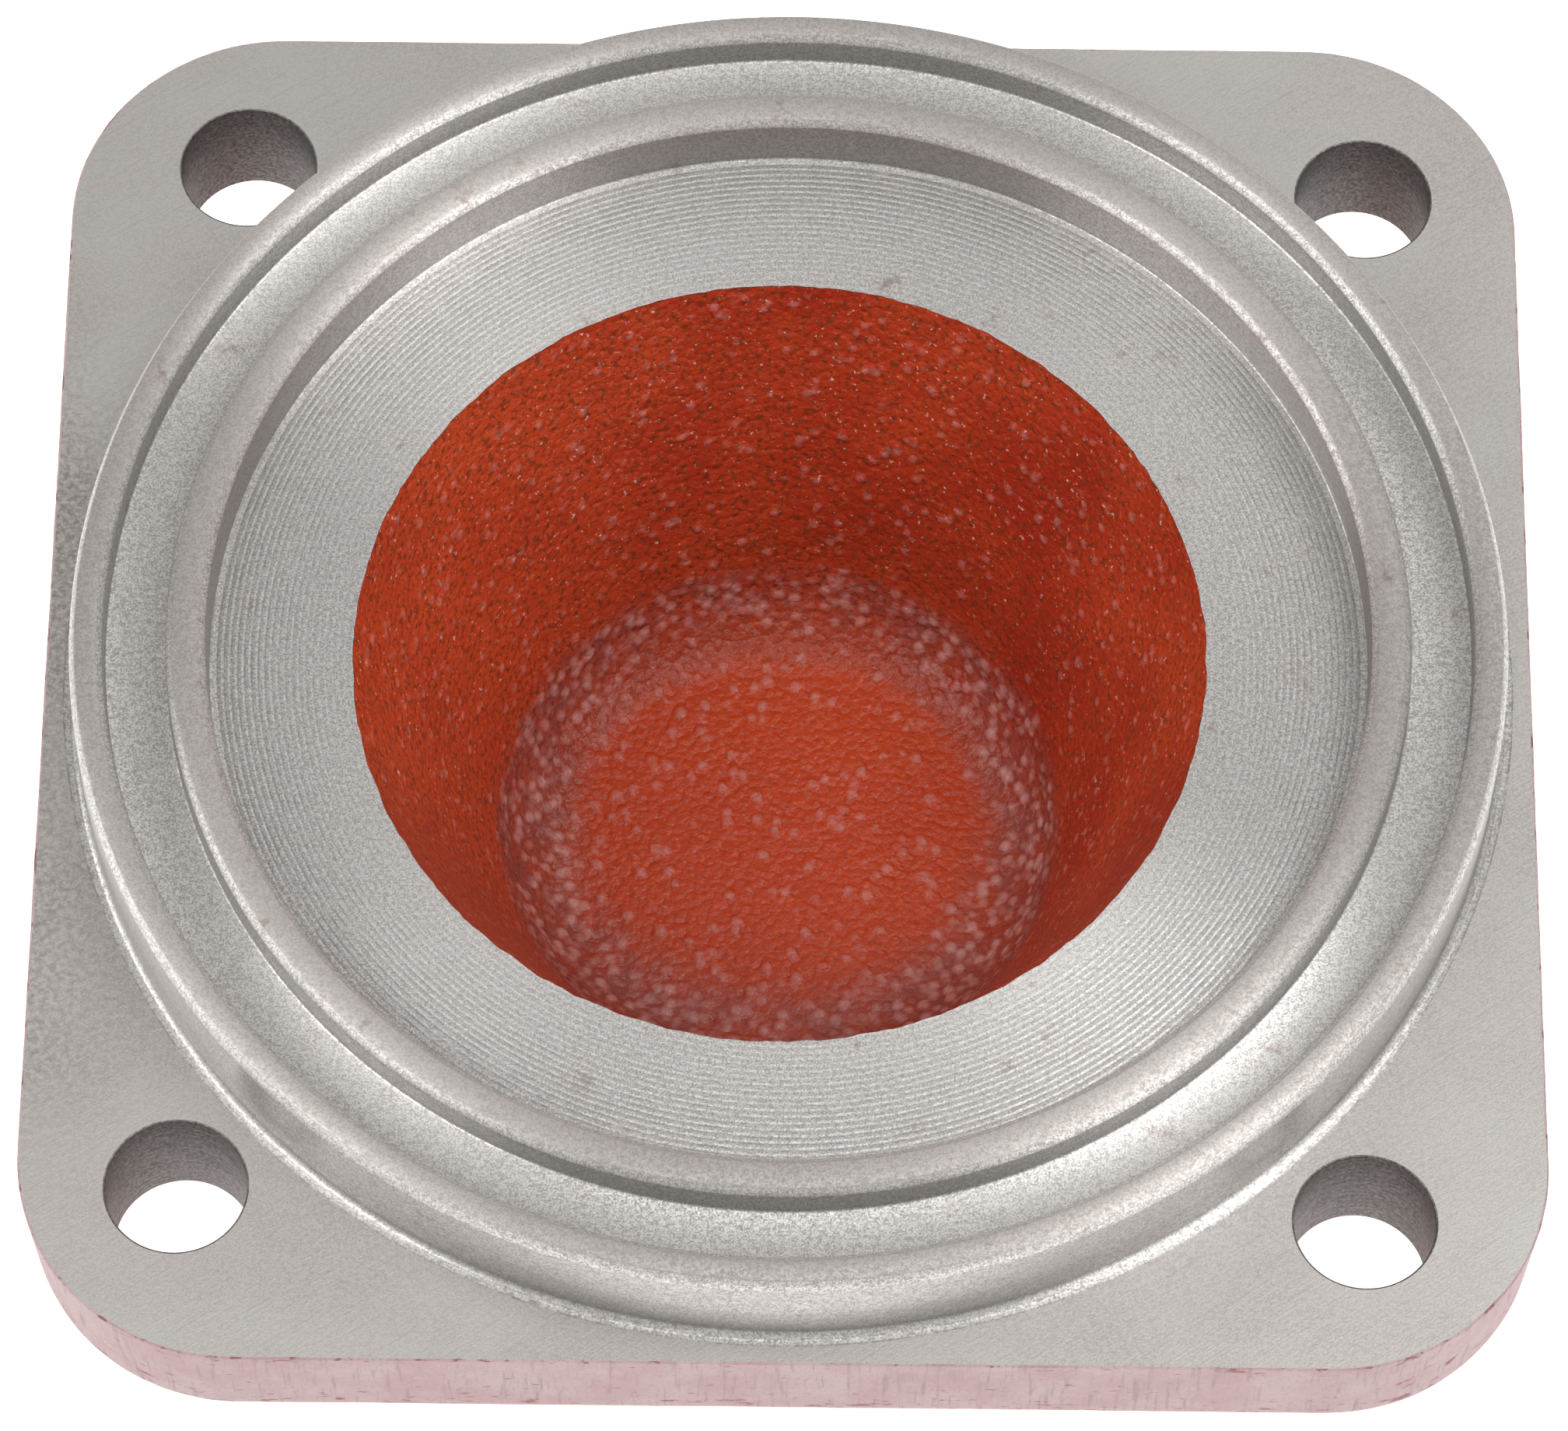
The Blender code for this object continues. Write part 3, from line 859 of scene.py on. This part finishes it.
def hollow_primer():
    n, tone, normal, peel = red_primer("hollow_primer")
    place = n.place()
    x, y, z = n.split(place)
    above = n.math("SUBTRACT", z, HOLLOW_FLOOR)
    low = n.ramp(above, 1 * MM, 6 * MM, 1.0, 0.0)

    # Painted shade low on the back wall, and painted light on the left wall.
    band = n.times(n.ramp(above, 5 * MM, 11 * MM), n.ramp(above, 13 * MM, 22 * MM, 1.0, 0.0))
    far = n.times(band, n.ramp(y, 6 * MM, 26 * MM))
    tone = n.mix(n.times(far, 0.3), tone, HOLLOW_FAR_SHADE)
    # Painted light on the left wall.
    tone = n.mix(n.ramp(x, -32 * MM, -4 * MM, 0.4, 0.0), tone, HOLLOW_LEFT_LIGHT)

    # The floor is a brighter orange, with painted shade in its corner and in the ring of crowded pebbles
    # round it.
    tone = n.mix(n.times(low, 0.7), tone, FLOOR_ORANGE)
    # Painted shade in the corner where the wall meets the floor.
    corner = n.times(n.ramp(above, 0.05 * MM, 0.5 * MM), n.ramp(above, 1.5 * MM, 4 * MM, 0.4, 0.0))
    tone = n.mix(corner, tone, FLOOR_CORNER_SHADE)
    from_middle = n.vector("SUBTRACT", n.combine(x, y, 0.0), (*map(float, FLOOR_MIDDLE), 0.0))
    outside = n.ramp(n.vector("LENGTH", from_middle), RING_REACH, RING_REACH + 5.5 * MM)
    crowd = n.times(n.ramp(above, RING_TOP, RING_TOP + 2.6 * MM, 1.0, 0.0), outside)
    patchy = n.ramp(n.noise(place, 260.0, 3.0, 0.6), 0.35, 0.62, 0.3, 0.9)
    # Painted shade among the crowded pebbles of the ring.
    tone = n.mix(n.times(crowd, patchy), tone, RING_SHADE_MAROON)

    # Brown pits, orange peel, and pale specks of painted highlight.
    pits = n.moved_noise(place, (0.2, 0.4, 0.1), 1700.0, 2.0, 0.5)
    pitted = n.times(n.ramp(pits, 0.52, 0.64), n.ramp(low, 0.0, 1.0, 0.72, 0.25))
    tone = n.mix(pitted, tone, PRIMER_PIT)
    tone = n.mix(n.ramp(peel, 0.58, 0.74, 0.0, 0.5), tone, PEEL_ORANGE)
    specks = n.moved_noise(place, (0.5, 0.1, 0.3), 1900.0, 2.0, 0.55)
    glint_specks = n.times(n.ramp(specks, 0.665, 0.73), n.ramp(above, 8 * MM, 16 * MM, 0.15, 0.7))
    tone = n.mix(glint_specks, tone, PALE_GLINT)

    # Painted highlights on the pebbles' tops, and painted shade on the near side.
    top = n.node("ShaderNodeAttribute", attribute_name="pebble_top").outputs["Fac"]
    pebble_highlight = n.times(n.ramp(top, 0.25, 0.85), n.ramp(crowd, 0.0, 1.0, 0.30, 0.52))
    tone = n.mix(pebble_highlight, tone, PEBBLE_HIGHLIGHT)
    # Painted shade on the near side of the hollow.
    tone = n.mix(n.ramp(y, -20 * MM, -6 * MM, 0.35, 0.0), tone, HOLLOW_NEAR_SHADE)
    roughness = n.ramp(peel, 0.3, 0.7, 0.20, 0.34)
    return n.finish(tone, roughness, normal, 0.0, Specular_IOR_Level=0.3)


def back_primer():
    n, tone, normal, peel = red_primer("back_primer")
    place = n.place()
    z = n.split(place)[2]
    pits = n.moved_noise(place, (0.2, 0.4, 0.1), 1300.0, 2.0, 0.5)
    dust = n.noise(place, 120.0, 4.0, 0.65)
    tone = n.mix(n.ramp(pits, 0.56, 0.66, 0.0, 0.7), tone, PRIMER_PIT)
    tone = n.mix(n.ramp(dust, 0.50, 0.70, 0.0, 0.35), tone, BACK_DUST)
    # The pad that the part stands on is rubbed.
    rubbed = n.times(n.ramp(z, 0.2 * MM, 0.6 * MM, 1.0, 0.0), n.ramp(dust, 0.42, 0.58), 0.7)
    tone = n.mix(rubbed, tone, RUBBED_PAD)
    roughness = n.ramp(peel, 0.3, 0.7, 0.32, 0.50)
    return n.finish(tone, roughness, normal, 0.0, Specular_IOR_Level=0.35)


def floor_paint():
    n = Nodes("pale_floor")
    tone = n.mix(n.noise(n.place(), 6.0), *STUDIO_FLOOR)
    normal = n.bump(n.noise(n.place(), 300.0), 0.02 * MM)
    return n.finish(tone, 0.9, normal, 0.0, Emission_Color=WHITE, Emission_Strength=0.65)


# ---------------------------------------------------------------- pieces

casting = casting_shell().build(
    "cast_flange",
    [turned_iron(), ground_iron(), drilled_iron(), pink_primer(), back_primer()],
    CASTING_SHARP_ANGLE,
)
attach(casting, "root")
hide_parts("flange_casting")

coat = coat_shell().build("hollow_primer_film", [hollow_primer()], COAT_SHARP_ANGLE)
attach(coat, "root")
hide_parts("cavity_primer_coat")


# ---------------------------------------------------------------- stage

CAMERA_LENS_MM = 185.9
CAMERA_SENSOR_MM = 36.0
CAMERA_AZIMUTH = 1.32
CAMERA_ELEVATION = 62.7
CAMERA_ROLL = math.radians(0.51)
CAMERA_DISTANCE = 0.821
CAMERA_REACH = 20.0
CAMERA_AIM = Vector((-0.0003, -0.0044, PLATE_TOP))

# The floor is a hair below the pad, so that the two faces never coincide.
FLOOR_GAP = 0.05 * MM
FLOOR_HALF_SIZE = 3.0

WORLD_COLOR = (1.0, 0.985, 0.97, 1.0)
WORLD_STRENGTH = 0.59

# Azimuth (0 is the front) and elevation in degrees, distance and size in metres, power in watts.
SOFTBOXES = {
    "right_softbox": (83, 63, 1.5, (0.7, 0.6), 6.8),
    "left_softbox": (-66, 50, 1.5, (0.7, 0.6), 6.4),
    "right_fill": (50, 24, 1.6, (0.8, 0.6), 4.4),
    "left_fill": (-90, 25, 1.6, (0.8, 0.6), 5.0),
    "top_softbox": (0, 84, 1.6, (0.7, 0.7), 2.8),
    "back_softbox": (140, 45, 1.6, (0.8, 0.8), 1.4),
}


def direction(azimuth, elevation):
    """From the object towards an azimuth (0 is the front) and an elevation, in degrees."""
    a, e = math.radians(azimuth), math.radians(elevation)
    return Vector((math.cos(e) * math.sin(a), -math.cos(e) * math.cos(a), math.sin(e)))


def add_camera():
    data = bpy.data.cameras.new("camera")
    data.lens = CAMERA_LENS_MM
    data.sensor_width = CAMERA_SENSOR_MM
    data.clip_end = CAMERA_REACH
    item = bpy.data.objects.new("camera", data)
    bpy.context.scene.collection.objects.link(item)
    back = direction(CAMERA_AZIMUTH, CAMERA_ELEVATION)
    item.location = CAMERA_AIM + CAMERA_DISTANCE * back
    item.rotation_mode = "QUATERNION"
    item.rotation_quaternion = (-back).to_track_quat("-Z", "Y") @ Quaternion((0, 0, 1), CAMERA_ROLL)
    bpy.context.scene.camera = item


def add_floor():
    shape = bmesh.new()
    bmesh.ops.create_grid(shape, x_segments=8, y_segments=8, size=FLOOR_HALF_SIZE)
    mesh = bpy.data.meshes.new("floor")
    shape.to_mesh(mesh)
    shape.free()
    mesh.materials.append(floor_paint())
    item = bpy.data.objects.new("floor", mesh)
    bpy.context.scene.collection.objects.link(item)
    item.location.z = cad_box[0].z - FLOOR_GAP


def add_world():
    world = bpy.data.worlds.new("studio")
    world.use_nodes = True
    background = world.node_tree.nodes["Background"]
    background.inputs["Color"].default_value = WORLD_COLOR
    background.inputs["Strength"].default_value = WORLD_STRENGTH
    bpy.context.scene.world = world


def add_softbox(name, azimuth, elevation, distance, size, power):
    """A rectangular light aimed at the object."""
    data = bpy.data.lights.new(name, "AREA")
    data.shape = "RECTANGLE"
    data.size, data.size_y = size
    data.energy = power
    item = bpy.data.objects.new(name, data)
    bpy.context.scene.collection.objects.link(item)
    back = direction(azimuth, elevation)
    item.location = Vector((0, 0, PLATE_TOP)) + distance * back
    item.rotation_euler = (-back).to_track_quat("-Z", "Y").to_euler()


add_camera()
add_floor()
add_world()
for softbox, settings in SOFTBOXES.items():
    add_softbox(softbox, *settings)
bpy.context.scene.view_settings.view_transform = "Standard"
